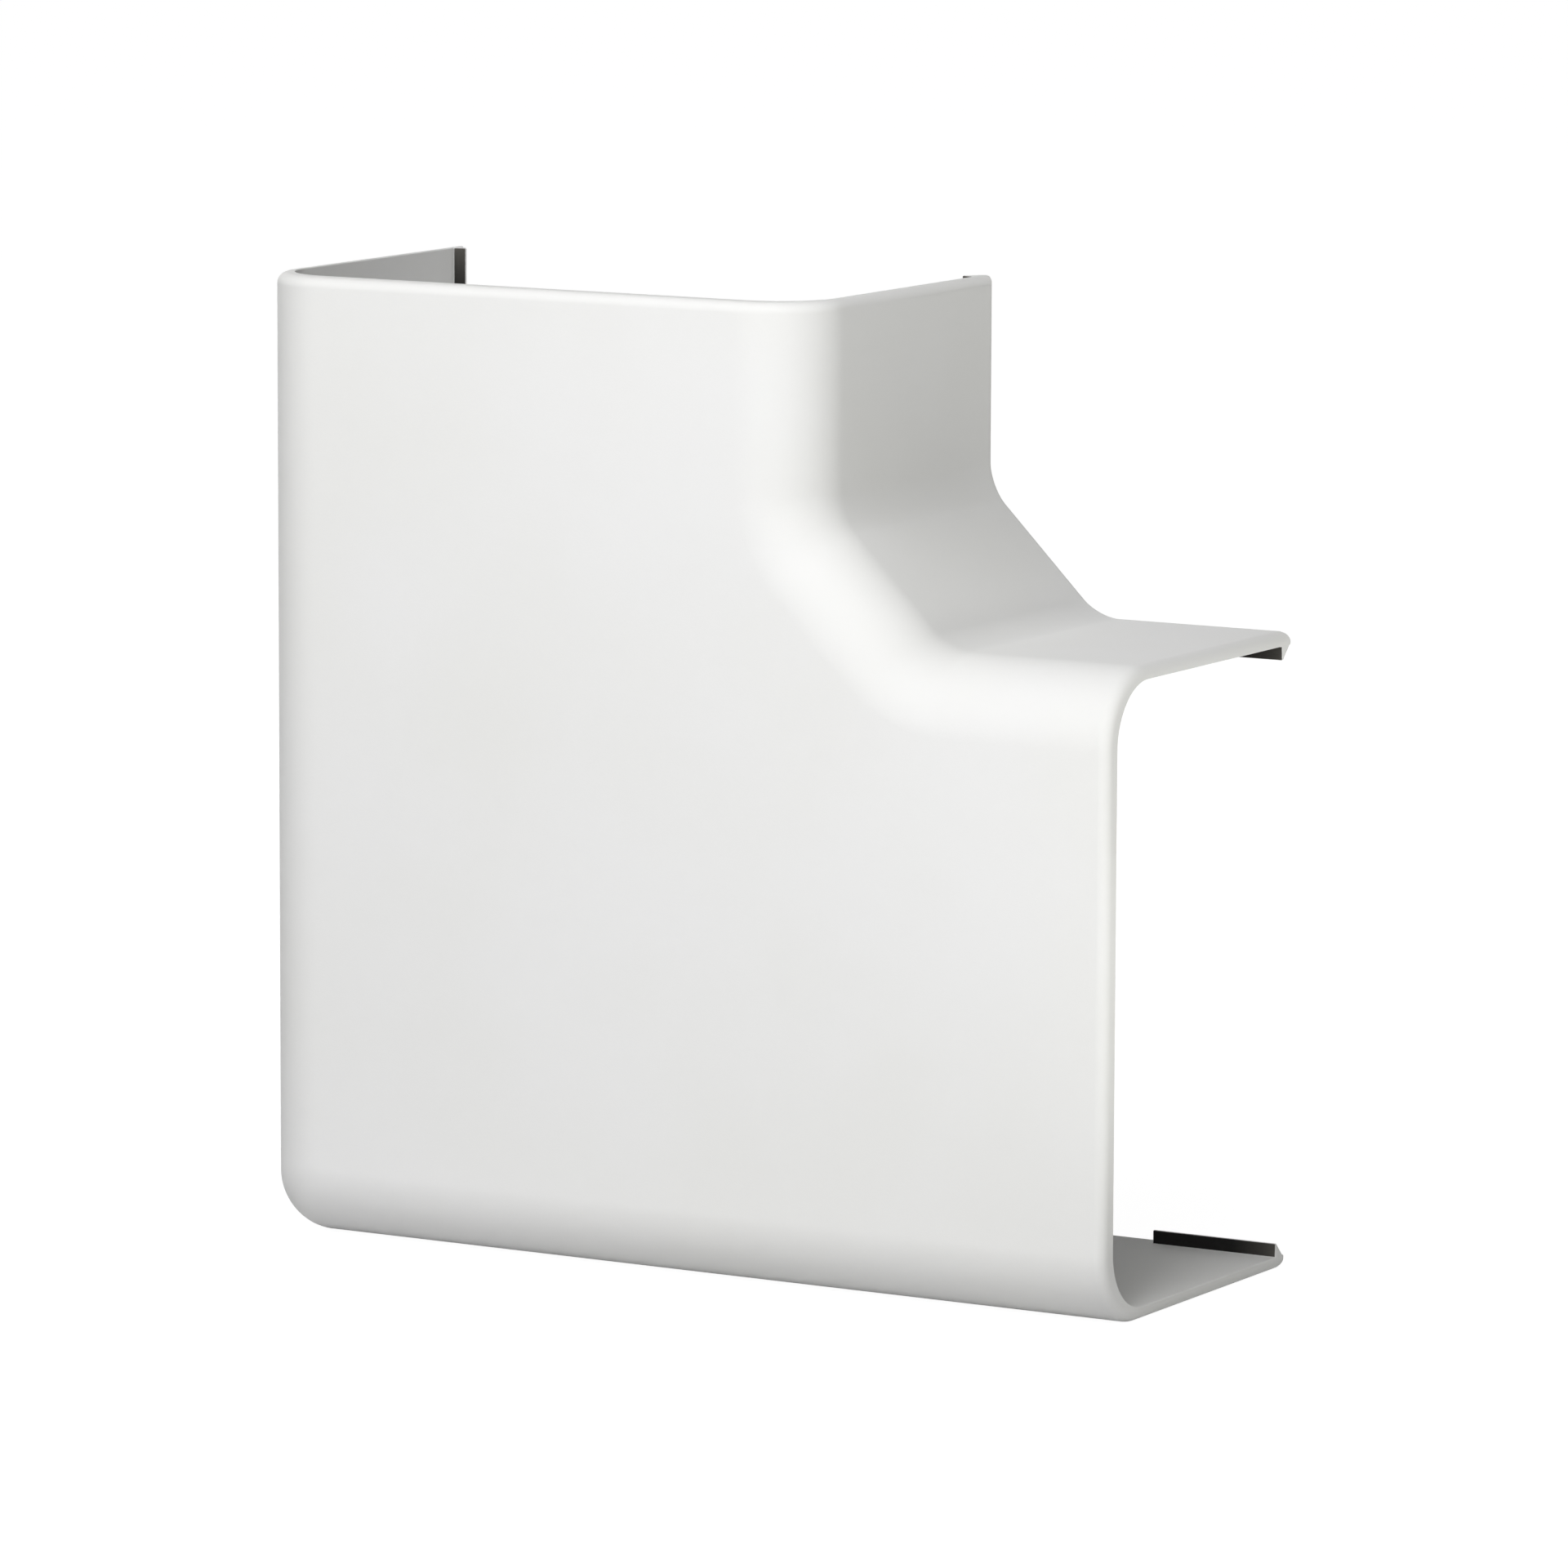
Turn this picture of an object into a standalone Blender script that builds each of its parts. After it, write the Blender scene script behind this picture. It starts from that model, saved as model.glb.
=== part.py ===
"""Flat angle hood for wall trunking: one moulded cover that carries a run through a right angle.

X runs to the right, Y into the wall and Z up. The hood stands on its bottom wall as it sits on the wall, with its
cover face towards -Y. The origin is the bottom centre of its bounding box.
"""

import math

import bmesh
import bpy

# Outside of the hood, in metres: both arms are alike
ARM_WIDTH = 0.100
ARM_STRAIGHT = 0.0329
HOOD_DEPTH = 0.060

# Slanted wall across the inner bend
BEND_LEG = 0.0194
BEND_FILLET = 0.0090

# Walls
SIDE_WALL = 0.0022
COVER_WALL = 0.0034

# Rounding from the side walls into the cover face, and the outer corner's radius at its two ends
EDGE_RADIUS = 0.012
CORNER_RADIUS = 0.0091
COVER_CORNER_RADIUS = 0.0015

# Small rounding on the outside of the back rim and of the open ends, and the flat that it leaves on the rim
RIM_RADIUS = 0.0017
RIM_LAND = 0.0001

# Catches that snap behind the trunking's edges, one on each side wall at each open end
CATCH_LENGTH = 0.0215
CATCH_HEIGHT = 0.00215
CATCH_TIP = 0.0004
LEAD_IN_ANGLE = math.radians(45)

# How far a cutting shape runs past the face that it opens
OVERCUT = 0.004

# Facets in each rounding
EDGE_SEGMENTS = 16
CORNER_SEGMENTS = 16
FILLET_SEGMENTS = 8
RIM_SEGMENTS = 4

# Shape of the rims' rounding: a true arc
ROUND_PROFILE = 0.5

# Places closer than this are the same place, and faces that turn less than this are one flat face
TOUCH = 0.000001
FLAT_ANGLE = math.radians(0.01)

# Edges sharper than this stay sharp in shading
SHADE_ANGLE = math.radians(32)

# White moulded plastic, satin
PLASTIC_COLOUR = (0.80, 0.80, 0.785, 1.0)
PLASTIC_ROUGHNESS = 0.42

# Directions in the plan, seen from the cover side, and the turn at each end of the slanted wall
QUARTER_TURN = math.pi / 2
UP = QUARTER_TURN
LEFT = UP + QUARTER_TURN
DOWN = LEFT + QUARTER_TURN
BEND_TURN = QUARTER_TURN / 2

# Derived sizes
ARM_REACH = ARM_WIDTH + BEND_LEG + ARM_STRAIGHT
RIM_ROUNDING = min(RIM_RADIUS, SIDE_WALL - RIM_LAND)


def placed(across, deep, up):
    """A point in the hood's frame, from its distances to the left wall, the cover face and the bottom wall."""
    return (across - ARM_REACH / 2, deep - HOOD_DEPTH / 2, up)


def edges_at(shape, axis, level):
    """Edges with both ends on the plane across an axis at a level of the hood's frame."""
    on_plane = {vertex for vertex in shape.verts if abs(getattr(vertex.co, axis) - level) < TOUCH}
    return {edge for edge in shape.edges if on_plane.issuperset(edge.verts)}


def arc(across, up, radius, start, end, segments):
    """Points on an arc in the plan, with both of its ends."""
    turns = [start + (end - start) * step / segments for step in range(segments + 1)]
    return [(across + radius * math.cos(turn), up + radius * math.sin(turn)) for turn in turns]


def corner_radius(inset):
    """Radius of the outer corner's section, which tightens from the side walls towards the cover face."""
    share = inset / EDGE_RADIUS
    return CORNER_RADIUS + (COVER_CORNER_RADIUS - CORNER_RADIUS) * share


def plan_outline(inset, reach):
    """The L in the plan, with every wall line set in by inset and both arms cut off at reach."""
    near = inset
    far = ARM_WIDTH - inset
    radius = corner_radius(inset)
    fillet = BEND_FILLET + inset
    low = ARM_WIDTH + BEND_FILLET
    high = ARM_WIDTH + BEND_LEG + BEND_FILLET * math.tan(BEND_TURN / 2)
    corner = arc(near + radius, near + radius, radius, LEFT, DOWN, CORNER_SEGMENTS)
    lower_fillet = arc(high, low, fillet, DOWN, DOWN - BEND_TURN, FILLET_SEGMENTS)
    upper_fillet = arc(low, high, fillet, LEFT + BEND_TURN, LEFT, FILLET_SEGMENTS)
    open_end_right = [(reach, near), (reach, far)]
    open_end_top = [(far, reach), (near, reach)]
    return corner + open_end_right + lower_fillet + upper_fillet + open_end_top


def closed_loop(shape, points):
    """Joins points into a closed loop of edges."""
    corners = [shape.verts.new(point) for point in points]
    followers = corners[1:] + corners[:1]
    return [shape.edges.new(pair) for pair in zip(corners, followers)]


def loft(shape, loops):
    """Bridges each loop of edges to the next one and closes both ends."""
    for first, second in zip(loops, loops[1:]):
        bmesh.ops.bridge_loops(shape, edges=first + second)
    for last in (loops[0], loops[-1]):
        bmesh.ops.contextual_create(shape, geom=last)
    bmesh.ops.recalc_face_normals(shape, faces=shape.faces)
    flat = [edge for edge in shape.edges if edge.calc_face_angle() < FLAT_ANGLE]
    bmesh.ops.dissolve_edges(shape, edges=flat)


def moulded_block(shape, inset, front, back, reach):
    """A solid L whose front is rounded into its sides, set in from the hood's outside by inset."""
    radius = EDGE_RADIUS - inset
    sections = []
    for step in range(EDGE_SEGMENTS + 1):
        turn = QUARTER_TURN * step / EDGE_SEGMENTS
        deep = front + radius * (1 - math.cos(turn))
        sections.append((deep, EDGE_RADIUS - radius * math.sin(turn)))
    sections.append((back, inset))
    loops = []
    for deep, offset in sections:
        outline = plan_outline(offset, reach)
        loops.append(closed_loop(shape, [placed(across, deep, up) for across, up in outline]))
    loft(shape, loops)


def round_rims(shape):
    """Rounds the outside of the back rim and of both open ends."""
    right, back, top = placed(ARM_REACH, HOOD_DEPTH, ARM_REACH)
    ends = edges_at(shape, "x", right) | edges_at(shape, "z", top)
    rims = ends ^ edges_at(shape, "y", back)
    bmesh.ops.bevel(
        shape,
        geom=[edge for edge in shape.edges if edge in rims],
        offset=RIM_ROUNDING,
        offset_type="OFFSET",
        segments=RIM_SEGMENTS,
        profile=ROUND_PROFILE,
        affect="EDGES",
        clamp_overlap=False,
        material=-1,
    )


def catch_section():
    """Section of a catch, as distances into the arm from a wall's outer face and back from the cover face."""
    tip = SIDE_WALL + CATCH_HEIGHT
    lead_start = RIM_ROUNDING + RIM_LAND
    lead_depth = (tip - lead_start) / math.tan(LEAD_IN_ANGLE)
    return [
        (-OVERCUT, HOOD_DEPTH - lead_depth - CATCH_TIP),
        (tip, HOOD_DEPTH - lead_depth - CATCH_TIP),
        (tip, HOOD_DEPTH - lead_depth),
        (lead_start - OVERCUT * math.tan(LEAD_IN_ANGLE), HOOD_DEPTH + OVERCUT),
        (-OVERCUT - OVERCUT * math.tan(LEAD_IN_ANGLE), HOOD_DEPTH + OVERCUT),
    ]


def extruded(shape, points, run):
    """Fills a closed outline and pushes it along a vector into a closed solid."""
    outline = closed_loop(shape, points)
    start = bmesh.ops.contextual_create(shape, geom=outline)["faces"]
    grown = bmesh.ops.extrude_face_region(shape, geom=start)["geom"]
    moved = [item for item in grown if isinstance(item, bmesh.types.BMVert)]
    bmesh.ops.translate(shape, verts=moved, vec=run)


def catch_bars(shape):
    """Bars with the catches' section, one along each side wall, starting where its catch starts."""
    start = ARM_REACH - CATCH_LENGTH
    length = CATCH_LENGTH + OVERCUT
    section = catch_section()
    extruded(shape, [placed(into, deep, start) for into, deep in section], (0.0, 0.0, length))
    extruded(shape, [placed(ARM_WIDTH - into, deep, start) for into, deep in section], (0.0, 0.0, length))
    extruded(shape, [placed(start, deep, into) for into, deep in section], (length, 0.0, 0.0))
    extruded(shape, [placed(start, deep, ARM_WIDTH - into) for into, deep in section], (length, 0.0, 0.0))
    bmesh.ops.recalc_face_normals(shape, faces=shape.faces)


def new_object(name, shape):
    """Adds an object with a finished shape to the scene."""
    mesh = bpy.data.meshes.new(name)
    shape.to_mesh(mesh)
    shape.free()
    item = bpy.data.objects.new(name, mesh)
    bpy.context.scene.collection.objects.link(item)
    return item


def cut(item, cutter):
    """Takes a cutting shape out of an object and keeps the cutting shape out of renders."""
    cutter.hide_render = True
    cutter.display_type = "WIRE"
    step = item.modifiers.new(f"less_{cutter.name}", "BOOLEAN")
    step.operation = "DIFFERENCE"
    step.solver = "EXACT"
    step.object = cutter


def satin_plastic():
    """White moulded plastic."""
    material = bpy.data.materials.new("white_plastic")
    material.use_nodes = True
    surface = material.node_tree.nodes["Principled BSDF"]
    surface.inputs["Base Color"].default_value = PLASTIC_COLOUR
    surface.inputs["Roughness"].default_value = PLASTIC_ROUGHNESS
    surface.inputs["Metallic"].default_value = 0.0
    return material


def bake(item):
    """Writes an object's cuts into its mesh, shaded smooth with its square edges kept sharp."""
    bpy.context.view_layer.update()
    evaluated = item.evaluated_get(bpy.context.evaluated_depsgraph_get())
    mesh = bpy.data.meshes.new_from_object(evaluated)
    mesh.name = item.name
    item.modifiers.clear()
    item.data = mesh
    mesh.shade_smooth()
    mesh.set_sharp_from_angle(angle=SHADE_ANGLE)


def flat_angle_hood():
    """The hood: a rounded L hollowed from behind and through both open ends, with its catches left standing."""
    outside = bmesh.new()
    moulded_block(outside, 0.0, 0.0, HOOD_DEPTH, ARM_REACH)
    round_rims(outside)
    hood = new_object("flat_angle_hood", outside)
    inside = bmesh.new()
    moulded_block(inside, SIDE_WALL, COVER_WALL, HOOD_DEPTH + OVERCUT, ARM_REACH + OVERCUT)
    hollow = new_object("hollow", inside)
    bars = bmesh.new()
    catch_bars(bars)
    catches = new_object("catches", bars)
    cut(hollow, catches)
    cut(hood, hollow)
    bake(hood)
    for cutter in (hollow, catches):
        bpy.data.objects.remove(cutter)
    hood.data.materials.clear()
    hood.data.materials.append(satin_plastic())


def main():
    for item in list(bpy.data.objects):
        bpy.data.objects.remove(item)
    flat_angle_hood()


main()
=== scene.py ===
"""Looks of a flat angle hood for wall trunking: its smooth moulding, its white plastic and a pale studio.

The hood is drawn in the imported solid's own frame, in metres: X to the right, Y into the wall and Z up. Points
in its sections are distances from three outer faces: across from the left wall, deep from the cover and up
from the bottom.
"""

import math

import bmesh
import bpy
from bpy.props import FloatProperty, FloatVectorProperty, IntProperty, PointerProperty
from mathutils import Matrix, Vector


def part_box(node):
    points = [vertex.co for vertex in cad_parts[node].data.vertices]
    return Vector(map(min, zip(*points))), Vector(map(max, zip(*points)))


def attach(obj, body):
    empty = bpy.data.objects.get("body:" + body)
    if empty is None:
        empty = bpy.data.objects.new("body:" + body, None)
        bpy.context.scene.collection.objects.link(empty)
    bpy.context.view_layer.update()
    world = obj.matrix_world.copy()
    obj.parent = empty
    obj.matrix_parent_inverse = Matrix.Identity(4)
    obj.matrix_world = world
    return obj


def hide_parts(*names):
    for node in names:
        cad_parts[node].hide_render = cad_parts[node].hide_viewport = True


bl_info = {
    "name": "Flat Angle Hood",
    "version": (1, 0, 0),
    "blender": (4, 5, 0),
    "location": "3D View > Sidebar > Flat Angle",
    "description": "Moulded hood for a flat right angle in wall trunking, with its plastic and its studio",
    "category": "Add Mesh",
}

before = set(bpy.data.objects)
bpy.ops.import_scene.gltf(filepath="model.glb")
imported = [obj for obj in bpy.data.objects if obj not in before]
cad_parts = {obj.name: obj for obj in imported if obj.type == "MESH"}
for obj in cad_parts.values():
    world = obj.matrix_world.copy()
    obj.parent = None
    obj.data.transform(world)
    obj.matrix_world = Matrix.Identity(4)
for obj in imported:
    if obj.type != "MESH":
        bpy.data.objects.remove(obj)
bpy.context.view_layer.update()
CAD_NODE = "flat_angle_hood"
LOWEST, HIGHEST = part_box(CAD_NODE)
BODY = "root"

# A square turn, and the turn at each end of the slanted wall
QUARTER_TURN = math.pi / 2
BEND_TURN = QUARTER_TURN / 2

# Shape of every rounding: a true arc
ROUND_PROFILE = 0.5

# How far a cutting shape runs past the face that it opens
OVERCUT = 0.004

# Places closer than this are the same place, and faces that turn less than this are one flat face
TOUCH = 0.000002
FLAT_ANGLE = math.radians(0.05)

# Edges sharper than this get the small moulded radius, which has this many facets
SOFTEN_ANGLE = math.radians(32)
SOFTEN_FACETS = 3

# How far from the plane of the catches' holding faces a point still counts as on them
CATCH_FACE_REACH = 0.0003

# Below 1, so the painted shade on the holding faces deepens fastest near the open ends
PAINTED_SHADE_CURVE = 0.6

# Distance between neighbours in the node editor
NODE_SPACING = 220

# From the hood's foot to the floor's edges, and the floor's surface
FLOOR_REACH = 6.0
FLOOR_ROUGHNESS = 0.9

# Height over the floor of the cards that fill the hood's right from below, and of the places they shine at
CARD_HEIGHT = 0.01
CARD_TARGET_HEIGHT = 1.0


class HoodSizes(bpy.types.PropertyGroup):
    """Sizes of the moulded hood."""

    reach: FloatProperty(
        name="Reach",
        description="Length of each arm from the outer corner to its open end",
        default=HIGHEST.x - LOWEST.x,
        unit="LENGTH",
    )
    depth: FloatProperty(
        name="Depth",
        description="From the cover's face to the back rim",
        default=HIGHEST.y - LOWEST.y,
        unit="LENGTH",
    )
    arm_width: FloatProperty(
        name="Arm width",
        description="Outside width of each arm",
        default=0.100,
        unit="LENGTH",
    )
    bend_leg: FloatProperty(
        name="Bend leg",
        description="How far the slanted wall cuts into each arm's inner side",
        default=0.0194,
        unit="LENGTH",
    )
    bend_fillet: FloatProperty(
        name="Bend fillet",
        description="Radius where the slanted wall meets an arm",
        default=0.0090,
        unit="LENGTH",
    )
    side_wall: FloatProperty(
        name="Side wall",
        description="Thickness of the side walls",
        default=0.0022,
        unit="LENGTH",
    )
    cover_wall: FloatProperty(
        name="Cover wall",
        description="Thickness of the cover",
        default=0.0034,
        unit="LENGTH",
    )
    edge_radius: FloatProperty(
        name="Edge radius",
        description="Rounding from the side walls into the cover",
        default=0.012,
        unit="LENGTH",
    )
    corner_radius: FloatProperty(
        name="Corner radius",
        description="Radius of the outer corner on its side walls",
        default=0.0091,
        unit="LENGTH",
    )
    cover_corner_radius: FloatProperty(
        name="Cover corner radius",
        description="Radius of the outer corner where it runs out in the cover",
        default=0.0015,
        unit="LENGTH",
    )
    rim_radius: FloatProperty(
        name="Rim radius",
        description="Rounding on the outside of the back rim and of the open ends",
        default=0.0017,
        unit="LENGTH",
    )
    softening: FloatProperty(
        name="Softening",
        description="Small radius that moulding leaves on every other edge",
        default=0.00025,
        unit="LENGTH",
    )
    catch_length: FloatProperty(
        name="Catch length",
        description="Length of each catch from its open end",
        default=0.0215,
        unit="LENGTH",
    )
    catch_height: FloatProperty(
        name="Catch height",
        description="How far a catch stands in from its wall",
        default=0.00215,
        unit="LENGTH",
    )
    catch_tip: FloatProperty(
        name="Catch tip",
        description="Width of the flat on top of a catch",
        default=0.0004,
        unit="LENGTH",
    )
    rim_land: FloatProperty(
        name="Rim land",
        description="Flat left on the rim before a catch's lead-in starts",
        default=0.0001,
        unit="LENGTH",
    )
    edge_facets: IntProperty(
        name="Edge facets",
        description="Facets across each large rounding",
        default=40,
        min=4,
    )
    fillet_facets: IntProperty(
        name="Fillet facets",
        description="Facets across each fillet of the slanted wall",
        default=16,
        min=2,
    )
    rim_facets: IntProperty(
        name="Rim facets",
        description="Facets across the rounding of the rims",
        default=8,
        min=2,
    )


class PlasticLook(bpy.types.PropertyGroup):
    """Colours and surface of the white plastic, and the painted shade on the catches' holding faces."""

    colour: FloatVectorProperty(
        name="Colour",
        description="Colour of the plastic",
        default=(0.80, 0.80, 0.797),
        size=3,
        subtype="COLOR",
    )
    warm_colour: FloatVectorProperty(
        name="Warm colour",
        description="Colour that faint flow marks in the plastic lean to",
        default=(0.785, 0.785, 0.772),
        size=3,
        subtype="COLOR",
    )
    # Painted shade: the catches' holding faces are painted near black deep inside the hood and lighter towards
    # the open ends, where light comes in.
    painted_shade_deep_colour: FloatVectorProperty(
        name="Deep painted shade",
        description="Painted shade colour of the catches' holding faces, deep inside the hood",
        default=(0.0015, 0.0012, 0.001),
        size=3,
        subtype="COLOR",
    )
    painted_shade_end_colour: FloatVectorProperty(
        name="End painted shade",
        description="Painted shade colour of the catches' holding faces at the open ends",
        default=(0.085, 0.080, 0.072),
        size=3,
        subtype="COLOR",
    )
    painted_shade_fade: FloatProperty(
        name="Catch fade",
        description="Length over which the holding faces darken from the open ends",
        default=0.0075,
        unit="LENGTH",
    )
    roughness_low: FloatProperty(
        name="Smoothest",
        description="Roughness of the smoothest spots",
        default=0.68,
        subtype="FACTOR",
    )
    roughness_high: FloatProperty(
        name="Roughest",
        description="Roughness of the roughest spots",
        default=0.80,
        subtype="FACTOR",
    )
    reflection: FloatProperty(
        name="Reflection",
        description="Level of the surface's reflections",
        default=0.3,
        subtype="FACTOR",
    )
    grain_scale: FloatProperty(
        name="Grain scale",
        description="Grains of the eroded mould surface per metre",
        default=2600.0,
    )
    grain_depth: FloatProperty(
        name="Grain depth",
        description="Height of the grain",
        default=0.000012,
        unit="LENGTH",
    )
    flow_scale: FloatProperty(
        name="Flow scale",
        description="Faint flow marks in the plastic per metre",
        default=22.0,
    )


class StageLook(bpy.types.PropertyGroup):
    """Camera, lamps and background."""

    azimuth: FloatProperty(
        name="Azimuth",
        description="How far the camera stands round to the right of the cover's front",
        default=math.radians(30.02),
        subtype="ANGLE",
    )
    elevation: FloatProperty(
        name="Elevation",
        description="How far the camera stands above the level",
        default=math.radians(8.31),
        subtype="ANGLE",
    )
    roll: FloatProperty(
        name="Roll",
        description="Turn of the camera about its own axis",
        default=math.radians(0.215),
        subtype="ANGLE",
    )
    distance: FloatProperty(
        name="Distance",
        description="From the camera to the cover's middle",
        default=1.4083,
        unit="LENGTH",
    )
    lens: FloatProperty(
        name="Lens",
        description="Focal length in millimetres on a 36 mm sensor",
        default=211.5,
    )
    aim_side: FloatProperty(
        name="Aim to the side",
        description="How far the camera aims to the right of the cover's middle",
        default=0.01794,
        unit="LENGTH",
    )
    aim_rise: FloatProperty(
        name="Aim above",
        description="How far the camera aims above the cover's middle",
        default=0.00161,
        unit="LENGTH",
    )
    key_power: FloatProperty(
        name="Key power",
        description="Power of the large lamp in front and above, in watts",
        default=7.66,
    )
    upper_power: FloatProperty(
        name="Upper power",
        description="Power of the steep lamp in front and above, in watts",
        default=0.916,
    )
    front_power: FloatProperty(
        name="Front power",
        description="Power of the near lamp in front, in watts",
        default=1.23,
    )
    left_power: FloatProperty(
        name="Left power",
        description="Power of the low lamp on the left, behind the cover, in watts",
        default=1.2,
    )
    right_power: FloatProperty(
        name="Right power",
        description="Power of the low strip on the right, in watts",
        default=0.615,
    )
    card_power: FloatProperty(
        name="Card power",
        description="Power of the large flat card on the floor at the right, in watts",
        default=0.205,
    )
    small_card_power: FloatProperty(
        name="Small card power",
        description="Power of the small flat card on the floor by the open end, in watts",
        default=0.028,
    )
    fill_colour: FloatVectorProperty(
        name="Fill colour",
        description="Faintly warm colour of the low strip and the cards on the right",
        default=(1.0, 1.0, 0.95),
        size=3,
        subtype="COLOR",
    )
    floor_colour: FloatVectorProperty(
        name="Floor colour",
        description="Pale colour of the floor",
        default=(0.65, 0.65, 0.65),
        size=3,
        subtype="COLOR",
    )
    floor_shade: FloatProperty(
        name="Floor shade",
        description="How much of the floor's own shading shows to the camera",
        default=0.2,
        subtype="FACTOR",
    )
    floor_glow: FloatProperty(
        name="Floor glow",
        description="White added to the floor round the hood where the camera sees it",
        default=0.955,
    )
    glow_start: FloatProperty(
        name="Glow start",
        description="Distance from the hood's foot at which the floor starts to turn fully white",
        default=0.12,
        unit="LENGTH",
    )
    glow_end: FloatProperty(
        name="Glow end",
        description="Distance from the hood's foot at which the floor is fully white",
        default=0.45,
        unit="LENGTH",
    )


def placed(across, deep, up):
    """A point in the hood's frame, from its distances to the left wall, the cover and the bottom."""
    return Vector((LOWEST.x + across, LOWEST.y + deep, LOWEST.z + up))


def edges_at(shape, axis, level):
    """Edges with both ends on the plane across an axis at a level of the hood's frame."""
    on_plane = {vertex for vertex in shape.verts if abs(getattr(vertex.co, axis) - level) < TOUCH}
    return {edge for edge in shape.edges if on_plane.issuperset(edge.verts)}


def round_corner(shape, corner, offset, facets):
    """Rounds one corner of a flat section."""
    bmesh.ops.bevel(
        shape,
        geom=[corner],
        offset=offset,
        offset_type="OFFSET",
        segments=facets,
        profile=ROUND_PROFILE,
        affect="VERTICES",
        clamp_overlap=False,
        material=-1,
    )


def section(shape, sizes, inset, deep, reach):
    """Adds an L-shaped face at one depth, set in from the hood's outside, and gives the edges round it."""
    far = sizes.arm_width - inset
    bend = sizes.arm_width + sizes.bend_leg - inset * math.tan(BEND_TURN / 2)
    right_end = [(reach, inset), (reach, far)]
    top_end = [(far, reach), (inset, reach)]
    plan = [(inset, inset), *right_end, (bend, far), (far, bend), *top_end]
    corners = [shape.verts.new(placed(across, deep, up)) for across, up in plan]
    shape.faces.new(corners)
    share = inset / sizes.edge_radius
    corner_radius = sizes.corner_radius + (sizes.cover_corner_radius - sizes.corner_radius) * share
    fillet_offset = (sizes.bend_fillet + inset) * math.tan(BEND_TURN / 2)
    outer_corner, lower_bend, upper_bend = corners[0], corners[3], corners[4]
    round_corner(shape, lower_bend, fillet_offset, sizes.fillet_facets)
    round_corner(shape, upper_bend, fillet_offset, sizes.fillet_facets)
    round_corner(shape, outer_corner, corner_radius, sizes.edge_facets)
    shape.faces.ensure_lookup_table()
    return list(shape.faces[-1].edges)


def moulded_block(sizes, inset, front, back, reach):
    """A solid L whose front is rounded into its sides, lofted through its sections."""
    shape = bmesh.new()
    radius = sizes.edge_radius - inset
    steps = []
    for step in range(sizes.edge_facets + 1):
        turn = QUARTER_TURN * step / sizes.edge_facets
        steps.append((front + radius * (1 - math.cos(turn)), sizes.edge_radius - radius * math.sin(turn)))
    steps.append((back, inset))
    rings = [section(shape, sizes, offset, deep, reach) for deep, offset in steps]
    between_the_ends = list(shape.faces)[1:-1]
    bmesh.ops.delete(shape, geom=between_the_ends, context="FACES_ONLY")
    for ring, following in zip(rings, rings[1:]):
        bmesh.ops.bridge_loops(shape, edges=ring + following)
    bmesh.ops.recalc_face_normals(shape, faces=shape.faces)
    flat = [edge for edge in shape.edges if edge.calc_face_angle() < FLAT_ANGLE]
    bmesh.ops.dissolve_edges(shape, edges=flat)
    return shape


def round_rims(shape, sizes):
    """Rounds the outside of the back rim and of both open ends."""
    ends = edges_at(shape, "x", HIGHEST.x) | edges_at(shape, "z", HIGHEST.z)
    rims = ends ^ edges_at(shape, "y", HIGHEST.y)
    bmesh.ops.bevel(
        shape,
        geom=[edge for edge in shape.edges if edge in rims],
        offset=sizes.rim_radius,
        offset_type="OFFSET",
        segments=sizes.rim_facets,
        profile=ROUND_PROFILE,
        affect="EDGES",
        clamp_overlap=False,
        material=-1,
    )


def catch_levels(sizes):
    """A catch's tip and foot, in from its wall's outer face, and its holding face, back from the cover."""
    tip = sizes.side_wall + sizes.catch_height
    foot = sizes.rim_radius + sizes.rim_land
    holding = sizes.depth - (tip - foot) - sizes.catch_tip
    return tip, foot, holding


def catch_bars(sizes):
    """Bars with the catches' section, one along each side wall of each arm, which the hollow goes round."""
    tip, foot, holding = catch_levels(sizes)
    outline = [
        (-OVERCUT, holding),
        (tip, holding),
        (tip, holding + sizes.catch_tip),
        (foot - OVERCUT, sizes.depth + OVERCUT),
        (-OVERCUT * 2, sizes.depth + OVERCUT),
    ]
    start = sizes.reach - sizes.catch_length
    length = sizes.catch_length + OVERCUT
    shape = bmesh.new()
    for from_far_side in (False, True):
        for along_top_arm in (False, True):
            corners = []
            for into, deep in outline:
                side = sizes.arm_width - into if from_far_side else into
                place = placed(side, deep, start) if along_top_arm else placed(start, deep, side)
                corners.append(shape.verts.new(place))
            end = shape.faces.new(corners)
            grown = bmesh.ops.extrude_face_region(shape, geom=[end])["geom"]
            moved = [item for item in grown if isinstance(item, bmesh.types.BMVert)]
            run = Vector((0, 0, length)) if along_top_arm else Vector((length, 0, 0))
            bmesh.ops.translate(shape, verts=moved, vec=run)
    bmesh.ops.recalc_face_normals(shape, faces=shape.faces)
    return shape


def new_piece(name, shape):
    """Adds a finished shape to the scene."""
    mesh = bpy.data.meshes.new(name)
    shape.to_mesh(mesh)
    shape.free()
    piece = bpy.data.objects.new(name, mesh)
    bpy.context.scene.collection.objects.link(piece)
    return piece


def cut(piece, cutter):
    """Takes one closed shape out of another."""
    step = piece.modifiers.new(f"less_{cutter.name}", "BOOLEAN")
    step.operation = "DIFFERENCE"
    step.solver = "EXACT"
    step.object = cutter


def soften(piece, width):
    """Puts the small moulded radius on the sharp edges, with the flats' shading kept flat."""
    radius = piece.modifiers.new("softening", "BEVEL")
    radius.width = width
    radius.segments = SOFTEN_FACETS
    radius.profile = ROUND_PROFILE
    radius.limit_method = "ANGLE"
    radius.angle_limit = SOFTEN_ANGLE
    radius.use_clamp_overlap = True
    shading = piece.modifiers.new("flat_shading", "WEIGHTED_NORMAL")
    shading.keep_sharp = True
    shading.weight = 100


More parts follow.
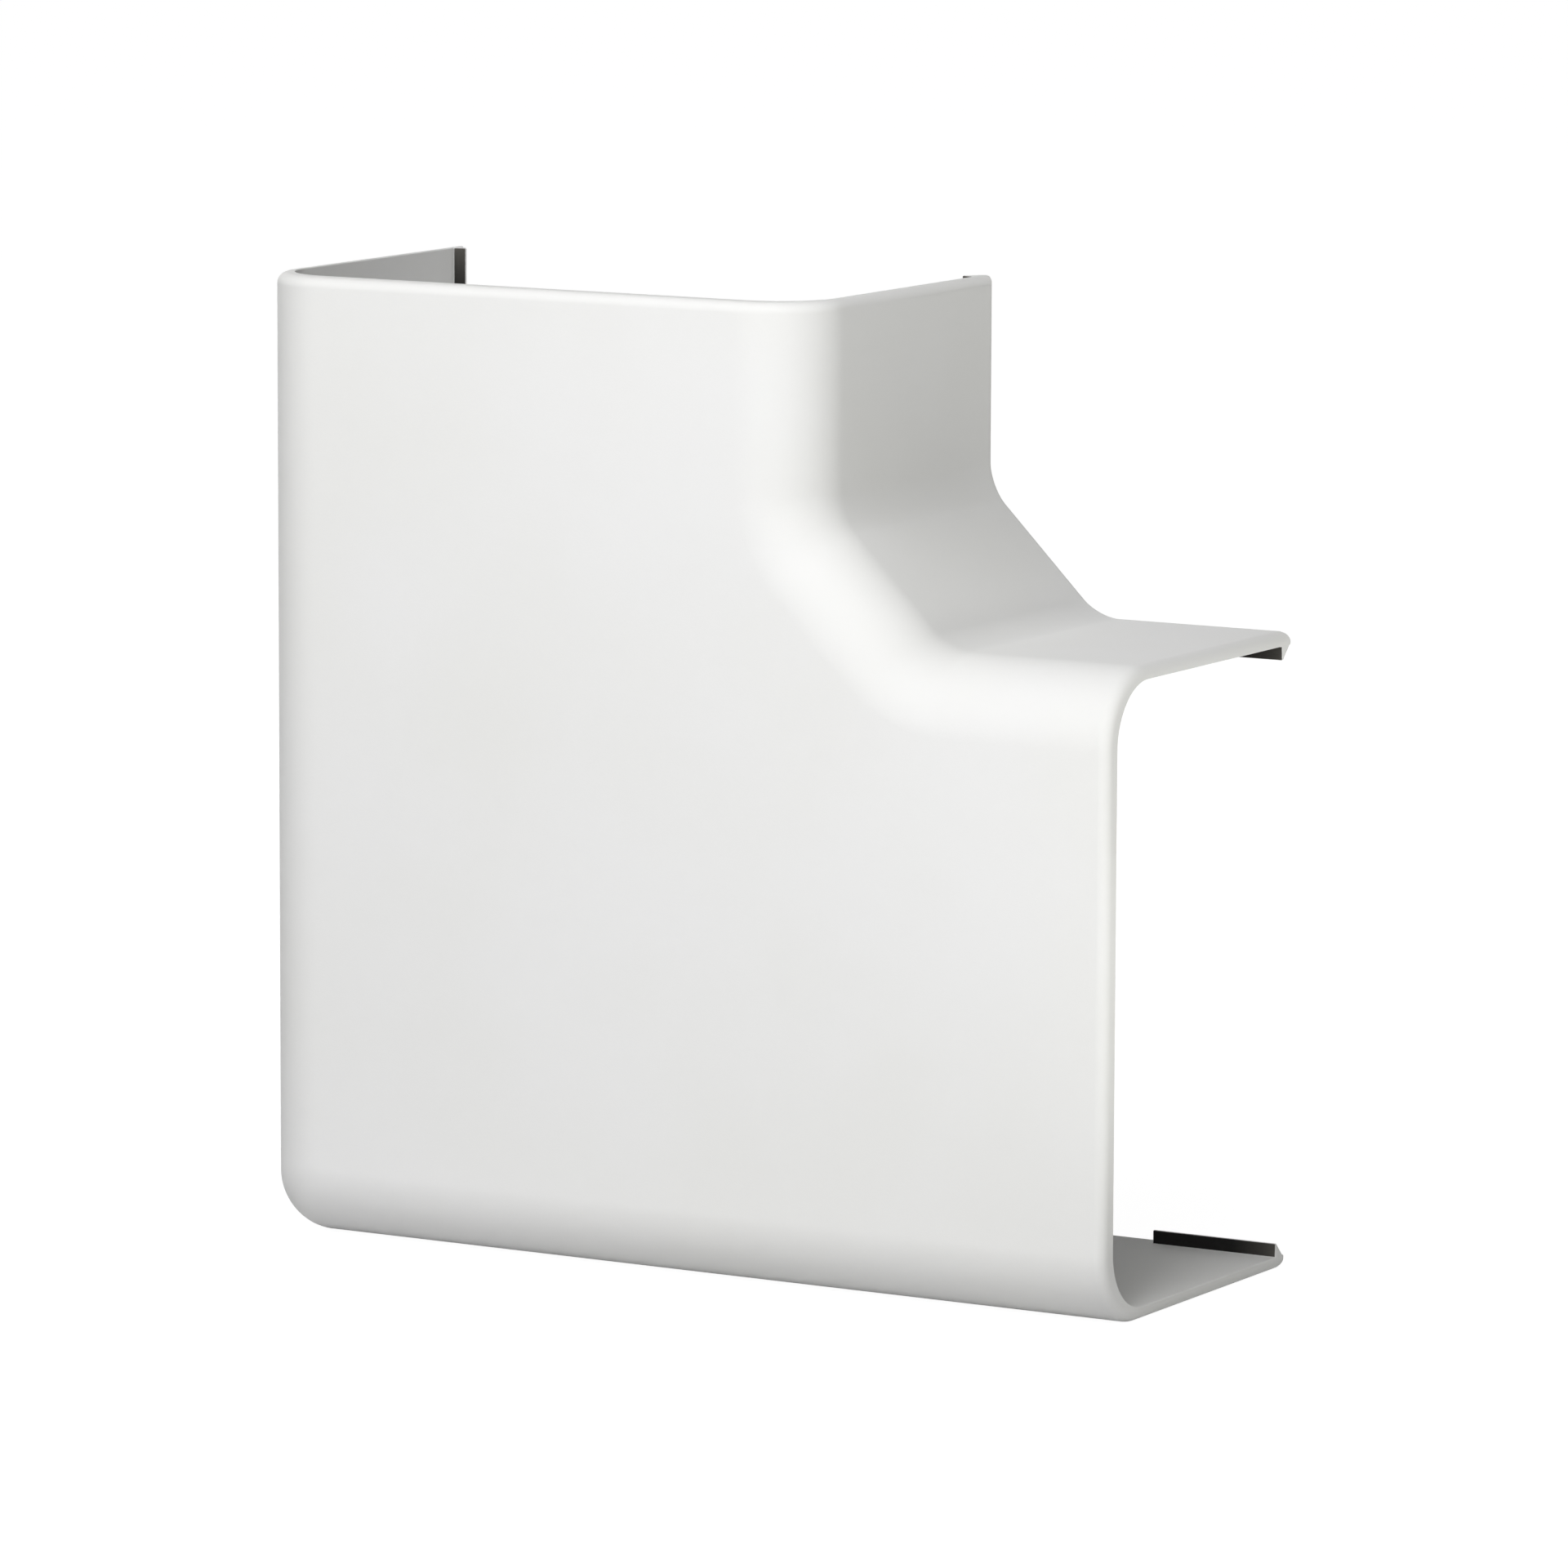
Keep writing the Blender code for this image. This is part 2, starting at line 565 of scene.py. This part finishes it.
def applied(piece):
    """Writes a piece's modifiers into its mesh."""
    bpy.context.view_layer.update()
    evaluated = piece.evaluated_get(bpy.context.evaluated_depsgraph_get())
    mesh = bpy.data.meshes.new_from_object(evaluated)
    piece.modifiers.clear()
    piece.data = mesh


def moulded_hood(sizes):
    """The hood's smooth mesh: a rounded L hollowed from behind and through both ends, with its catches."""
    outside = moulded_block(sizes, 0.0, 0.0, sizes.depth, sizes.reach)
    round_rims(outside, sizes)
    hood = new_piece("moulded_hood", outside)
    inside = moulded_block(
        sizes, sizes.side_wall, sizes.cover_wall, sizes.depth + OVERCUT, sizes.reach + OVERCUT
    )
    hollow = new_piece("hollow", inside)
    catches = new_piece("catches", catch_bars(sizes))
    cut(hollow, catches)
    cut(hood, hollow)
    applied(hood)
    for cutter in (hollow, catches):
        bpy.data.objects.remove(cutter)
    hood.data.shade_smooth()
    soften(hood, sizes.softening)
    applied(hood)
    hood.data.name = "moulded_hood"
    return hood


class Nodes:
    """Short ways to add and join the nodes of a material or a group."""

    def __init__(self, tree):
        self.tree = tree
        self.column = 0

    def add(self, kind, label, **settings):
        """Adds a node with its settings, to the right of the one before."""
        node = self.tree.nodes.new(kind)
        node.label = label
        node.location = (self.column * NODE_SPACING, 0)
        self.column += 1
        for name, value in settings.items():
            setattr(node, name, value)
        return node

    def join(self, source, target):
        """Joins an output to an input."""
        self.tree.links.new(source, target)

    def feed(self, value, target):
        """Gives an input its value, which is an output to join it to, or a number or a colour."""
        if isinstance(value, bpy.types.NodeSocket):
            self.join(value, target)
        else:
            target.default_value = value

    def math(self, operation, label, *values):
        """A sum of one or two values."""
        node = self.add("ShaderNodeMath", label, operation=operation)
        for value, target in zip(values, node.inputs):
            self.feed(value, target)
        return node.outputs["Value"]

    def mixed(self, label, factor, first, second):
        """A colour between two colours."""
        node = self.add("ShaderNodeMix", label, data_type="RGBA")
        self.join(factor, node.inputs["Factor"])
        colours = [item for item in node.inputs if item.type == "RGBA"]
        for value, target in zip((first, second), colours):
            self.feed(value, target)
        return [item for item in node.outputs if item.type == "RGBA"][0]

    def stepped(self, label, value, low, high):
        """A mask that rises from 0 to 1 between two values."""
        node = self.add("ShaderNodeMapRange", label, interpolation_type="SMOOTHSTEP")
        self.join(value, node.inputs["Value"])
        node.inputs["From Min"].default_value = low
        node.inputs["From Max"].default_value = high
        return node.outputs["Result"]

    def noise(self, label, position, scale, detail, roughness):
        """A noise pattern."""
        node = self.add("ShaderNodeTexNoise", label)
        self.join(position, node.inputs["Vector"])
        self.join(scale, node.inputs["Scale"])
        node.inputs["Detail"].default_value = detail
        node.inputs["Roughness"].default_value = roughness
        return node.outputs["Fac"]


def new_group(name, inputs, outputs):
    """An empty shader group with named sockets, each given as a name and a socket type."""
    tree = bpy.data.node_groups.new(name, "ShaderNodeTree")
    for socket_name, socket_type in inputs:
        tree.interface.new_socket(socket_name, in_out="INPUT", socket_type=socket_type)
    for socket_name, socket_type in outputs:
        tree.interface.new_socket(socket_name, in_out="OUTPUT", socket_type=socket_type)
    nodes = Nodes(tree)
    entry = nodes.add("NodeGroupInput", "in")
    leave = nodes.add("NodeGroupOutput", "out")
    return tree, nodes, entry, leave


def grain_group():
    """Fine eroded grain of the mould and broad, faint flow marks, both from 0 to 1."""
    tree, nodes, entry, leave = new_group(
        "moulded_grain",
        [
            ("Position", "NodeSocketVector"),
            ("Grain Scale", "NodeSocketFloat"),
            ("Flow Scale", "NodeSocketFloat"),
        ],
        [("Grain", "NodeSocketFloat"), ("Flow", "NodeSocketFloat")],
    )
    position = entry.outputs["Position"]
    grain = nodes.noise("grain", position, entry.outputs["Grain Scale"], detail=3.0, roughness=0.55)
    flow = nodes.noise("flow", position, entry.outputs["Flow Scale"], detail=2.0, roughness=0.5)
    nodes.join(grain, leave.inputs["Grain"])
    nodes.join(nodes.stepped("flow contrast", flow, low=0.3, high=0.7), leave.inputs["Flow"])
    return tree


def catch_shade_mask_group():
    """Mask of the catches' holding faces, which all lie in one plane, and their depth from the ends, which sets
    the shade painted on them.
    """
    tree, nodes, entry, leave = new_group(
        "catch_face",
        [
            ("Position", "NodeSocketVector"),
            ("Facing", "NodeSocketVector"),
            ("Plane", "NodeSocketFloat"),
            ("Reach", "NodeSocketFloat"),
            ("Right End", "NodeSocketFloat"),
            ("Top End", "NodeSocketFloat"),
            ("Fade", "NodeSocketFloat"),
        ],
        [("Mask", "NodeSocketFloat"), ("Depth", "NodeSocketFloat")],
    )
    given = entry.outputs
    place = nodes.add("ShaderNodeSeparateXYZ", "place")
    nodes.join(given["Position"], place.inputs["Vector"])
    facing = nodes.add("ShaderNodeSeparateXYZ", "facing")
    nodes.join(given["Facing"], facing.inputs["Vector"])
    away = nodes.math("SUBTRACT", "from the plane", place.outputs["Y"], given["Plane"])
    gap = nodes.math("ABSOLUTE", "gap", away)
    near = nodes.math("LESS_THAN", "near the plane", gap, given["Reach"])
    front = nodes.math("MULTIPLY", "front", facing.outputs["Y"], -1.0)
    forward = nodes.stepped("forward", front, low=0.55, high=0.85)
    nodes.join(nodes.math("MULTIPLY", "both", near, forward), leave.inputs["Mask"])
    from_right = nodes.math("SUBTRACT", "from the right end", given["Right End"], place.outputs["X"])
    from_top = nodes.math("SUBTRACT", "from the top end", given["Top End"], place.outputs["Z"])
    inward = nodes.math("MINIMUM", "from the nearer end", from_right, from_top)
    share = nodes.math("DIVIDE", "share of the fade", inward, given["Fade"])
    whole = nodes.math("MINIMUM", "full depth", share, 1.0)
    nodes.join(nodes.math("POWER", "curve of the fade", whole, PAINTED_SHADE_CURVE), leave.inputs["Depth"])
    return tree


def group_node(nodes, tree, label, **values):
    """Places a group with its own values."""
    node = nodes.add("ShaderNodeGroup", label, node_tree=tree)
    for name, value in values.items():
        node.inputs[name.replace("_", " ").title()].default_value = value
    return node


def opaque(colour):
    """A colour with the full alpha that a colour socket takes."""
    return (*colour, 1.0)


def white_plastic(look, sizes):
    """White plastic with a fine mould grain, faint flow marks, and painted shade on the catches' holding faces.
    """
    material = bpy.data.materials.new("satin_white_plastic")
    material.use_nodes = True
    nodes = Nodes(material.node_tree)
    surface = material.node_tree.nodes["Principled BSDF"]
    surface.inputs["Metallic"].default_value = 0.0
    surface.inputs["IOR"].default_value = 1.5
    surface.inputs["Specular IOR Level"].default_value = look.reflection
    where = nodes.add("ShaderNodeTexCoord", "where")
    grain = group_node(
        nodes,
        grain_group(),
        "grain",
        grain_scale=look.grain_scale,
        flow_scale=look.flow_scale,
    )
    nodes.join(where.outputs["Object"], grain.inputs["Position"])
    _, _, holding = catch_levels(sizes)
    catch = group_node(
        nodes,
        catch_shade_mask_group(),
        "catch faces",
        plane=LOWEST.y + holding,
        reach=CATCH_FACE_REACH,
        right_end=HIGHEST.x,
        top_end=HIGHEST.z,
        fade=look.painted_shade_fade,
    )
    nodes.join(where.outputs["Object"], catch.inputs["Position"])
    nodes.join(where.outputs["Normal"], catch.inputs["Facing"])
    pale = nodes.mixed("pale", grain.outputs["Flow"], opaque(look.colour), opaque(look.warm_colour))
    # Painted shade on the catches' holding faces: near black deep inside the hood, lighter towards the open
    # ends.
    dark = nodes.mixed(
        "dark", catch.outputs["Depth"], opaque(look.painted_shade_end_colour), opaque(look.painted_shade_deep_colour)
    )
    nodes.join(nodes.mixed("faces", catch.outputs["Mask"], pale, dark), surface.inputs["Base Color"])
    satin = nodes.add("ShaderNodeMapRange", "satin")
    nodes.join(grain.outputs["Grain"], satin.inputs["Value"])
    satin.inputs["To Min"].default_value = look.roughness_low
    satin.inputs["To Max"].default_value = look.roughness_high
    nodes.join(satin.outputs["Result"], surface.inputs["Roughness"])
    bump = nodes.add("ShaderNodeBump", "grain height")
    bump.inputs["Strength"].default_value = 1.0
    bump.inputs["Distance"].default_value = look.grain_depth
    nodes.join(grain.outputs["Grain"], bump.inputs["Height"])
    nodes.join(bump.outputs["Normal"], surface.inputs["Normal"])
    return material


def seen_directly(nodes):
    """1 for what the camera sees itself or in a reflection, and 0 for light on its way round the scene."""
    path = nodes.add("ShaderNodeLightPath", "path")
    glossy, through = path.outputs["Is Glossy Ray"], path.outputs["Is Transmission Ray"]
    mirrored = nodes.math("MAXIMUM", "mirrored", glossy, through)
    return nodes.math("MAXIMUM", "seen", path.outputs["Is Camera Ray"], mirrored)


def floor_material(look):
    """Pale floor that reads as white where the camera sees it, and keeps a faint shadow."""
    material = bpy.data.materials.new("pale_floor")
    material.use_nodes = True
    tree = material.node_tree
    nodes = Nodes(tree)
    plain = tree.nodes["Principled BSDF"]
    plain.inputs["Base Color"].default_value = opaque(look.floor_colour)
    plain.inputs["Roughness"].default_value = FLOOR_ROUGHNESS
    shade = nodes.add("ShaderNodeBsdfDiffuse", "shade")
    shade.inputs["Color"].default_value = opaque([look.floor_shade] * 3)
    where = nodes.add("ShaderNodeTexCoord", "where")
    away = nodes.add("ShaderNodeVectorMath", "away from the hood", operation="LENGTH")
    nodes.join(where.outputs["Object"], away.inputs[0])
    far = nodes.stepped("far", away.outputs["Value"], look.glow_start, look.glow_end)
    white = nodes.math("MULTIPLY", "rest of the white", far, 1.0 - look.floor_glow)
    glow = nodes.add("ShaderNodeEmission", "glow")
    nodes.join(nodes.math("ADD", "white", white, look.floor_glow), glow.inputs["Strength"])
    both = nodes.add("ShaderNodeAddShader", "shade and glow")
    nodes.join(shade.outputs["BSDF"], both.inputs[0])
    nodes.join(glow.outputs["Emission"], both.inputs[1])
    pick = nodes.add("ShaderNodeMixShader", "seen or not")
    nodes.join(seen_directly(nodes), pick.inputs["Fac"])
    nodes.join(plain.outputs["BSDF"], pick.inputs[1])
    nodes.join(both.outputs["Shader"], pick.inputs[2])
    nodes.join(pick.outputs["Shader"], tree.nodes["Material Output"].inputs["Surface"])
    return material


def floor(look):
    """A large pale floor under the hood."""
    shape = bmesh.new()
    bmesh.ops.create_grid(shape, x_segments=1, y_segments=1, size=FLOOR_REACH)
    bmesh.ops.translate(shape, verts=shape.verts, vec=(0.0, 0.0, LOWEST.z))
    piece = new_piece("floor", shape)
    piece.data.materials.append(floor_material(look))


def white_world():
    """White surroundings that only the camera and reflections see."""
    world = bpy.data.worlds.new("white_studio")
    world.use_nodes = True
    bpy.context.scene.world = world
    nodes = Nodes(world.node_tree)
    background = world.node_tree.nodes["Background"]
    background.inputs["Color"].default_value = (1.0, 1.0, 1.0, 1.0)
    nodes.join(seen_directly(nodes), background.inputs["Strength"])


def softbox(name, power, size, place, target):
    """A soft lamp of a width and height, at a place and turned to a target, that the camera doesn't see."""
    lamp = bpy.data.lights.new(name, "AREA")
    lamp.shape = "RECTANGLE"
    lamp.size, lamp.size_y = size
    lamp.energy = power
    item = bpy.data.objects.new(name, lamp)
    item.visible_camera = False
    item.location = place
    item.rotation_euler = (Vector(place) - Vector(target)).to_track_quat("Z", "Y").to_euler()
    bpy.context.scene.collection.objects.link(item)
    return lamp


def card(name, power, size, across, deep):
    """A soft lamp that lies over the floor and shines straight up."""
    place = (across, deep, CARD_HEIGHT)
    return softbox(name, power, size, place, target=(across, deep, CARD_TARGET_HEIGHT))


def lamps(look):
    """Four soft lamps turned to the hood's middle, and a low strip and two cards that fill its right side."""
    middle = (LOWEST + HIGHEST) / 2
    low_middle = (0.0, 0.0, 0.06)
    softbox("key", look.key_power, size=(0.8, 0.8), place=(0.0, -0.919, 0.848), target=middle)
    softbox("upper", look.upper_power, size=(0.4, 0.4), place=(0.0, -0.254, 0.620), target=middle)
    softbox("front", look.front_power, size=(0.4, 0.4), place=(0.168, -0.462, 0.420), target=middle)
    softbox("left", look.left_power, size=(0.5, 0.25), place=(-0.66, 0.45, 0.17), target=middle)
    fills = [
        softbox("right", look.right_power, size=(0.4, 0.1), place=(0.6, 0.1, 0.06), target=low_middle),
        card("card", look.card_power, size=(0.2, 0.3), across=0.22, deep=-0.05),
        card("small_card", look.small_card_power, size=(0.08, 0.12), across=0.16, deep=0.0),
    ]
    for lamp in fills:
        lamp.color = look.fill_colour


def camera(look):
    """The camera at the photograph's viewing angle."""
    turn, rise, roll = look.azimuth, look.elevation, look.roll
    back = Vector((math.sin(turn) * math.cos(rise), -math.cos(turn) * math.cos(rise), math.sin(rise)))
    level = Vector((math.cos(turn), math.sin(turn), 0.0))
    upright = back.cross(level)
    right = math.cos(roll) * level + math.sin(roll) * upright
    up = math.cos(roll) * upright - math.sin(roll) * level
    cover_middle = Vector(((LOWEST.x + HIGHEST.x) / 2, LOWEST.y, (LOWEST.z + HIGHEST.z) / 2))
    place = cover_middle + back * look.distance + right * look.aim_side + up * look.aim_rise
    data = bpy.data.cameras.new("camera")
    data.sensor_width = 36.0
    data.lens = look.lens
    data.clip_start = 0.05
    data.clip_end = 50.0
    item = bpy.data.objects.new("camera", data)
    bpy.context.scene.collection.objects.link(item)
    item.matrix_world = Matrix((right, up, back)).transposed().to_4x4()
    item.location = place
    bpy.context.scene.camera = item


class FLATANGLE_OT_hood(bpy.types.Operator):
    """Models the moulded hood and gives it its plastic"""

    bl_idname = "flat_angle.hood"
    bl_label = "Moulded hood"

    def execute(self, context):
        sizes = context.scene.hood_sizes
        hood = moulded_hood(sizes)
        hood.data.materials.clear()
        hood.data.materials.append(white_plastic(context.scene.plastic_look, sizes))
        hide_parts(CAD_NODE)
        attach(hood, BODY)
        return {"FINISHED"}


class FLATANGLE_OT_stage(bpy.types.Operator):
    """Sets up the floor, the lamps, the white surroundings and the camera"""

    bl_idname = "flat_angle.stage"
    bl_label = "Studio and camera"

    def execute(self, context):
        look = context.scene.stage_look
        context.scene.view_settings.view_transform = "Standard"
        white_world()
        floor(look)
        lamps(look)
        camera(look)
        return {"FINISHED"}


class FLATANGLE_PT_sidebar(bpy.types.Panel):
    """Sizes, colours and steps of the flat angle hood"""

    bl_idname = "FLATANGLE_PT_sidebar"
    bl_label = "Flat Angle"
    bl_space_type = "VIEW_3D"
    bl_region_type = "UI"
    bl_category = "Flat Angle"

    def draw(self, context):
        for settings in (context.scene.hood_sizes, context.scene.plastic_look, context.scene.stage_look):
            box = self.layout.box()
            for name in settings.__annotations__:
                box.prop(settings, name)
        self.layout.operator(FLATANGLE_OT_hood.bl_idname)
        self.layout.operator(FLATANGLE_OT_stage.bl_idname)


CLASSES = (HoodSizes, PlasticLook, StageLook, FLATANGLE_OT_hood, FLATANGLE_OT_stage, FLATANGLE_PT_sidebar)
SETTINGS = {"hood_sizes": HoodSizes, "plastic_look": PlasticLook, "stage_look": StageLook}


def register():
    """Registers the classes and puts their settings on the scene."""
    for item in CLASSES:
        bpy.utils.register_class(item)
    for name, group in SETTINGS.items():
        setattr(bpy.types.Scene, name, PointerProperty(type=group))


def unregister():
    """Takes the settings and the classes away again."""
    for name in SETTINGS:
        delattr(bpy.types.Scene, name)
    for item in reversed(CLASSES):
        bpy.utils.unregister_class(item)


def main():
    """Builds the whole scene."""
    register()
    bpy.ops.flat_angle.hood()
    bpy.ops.flat_angle.stage()


if __name__ == "__main__":
    main()
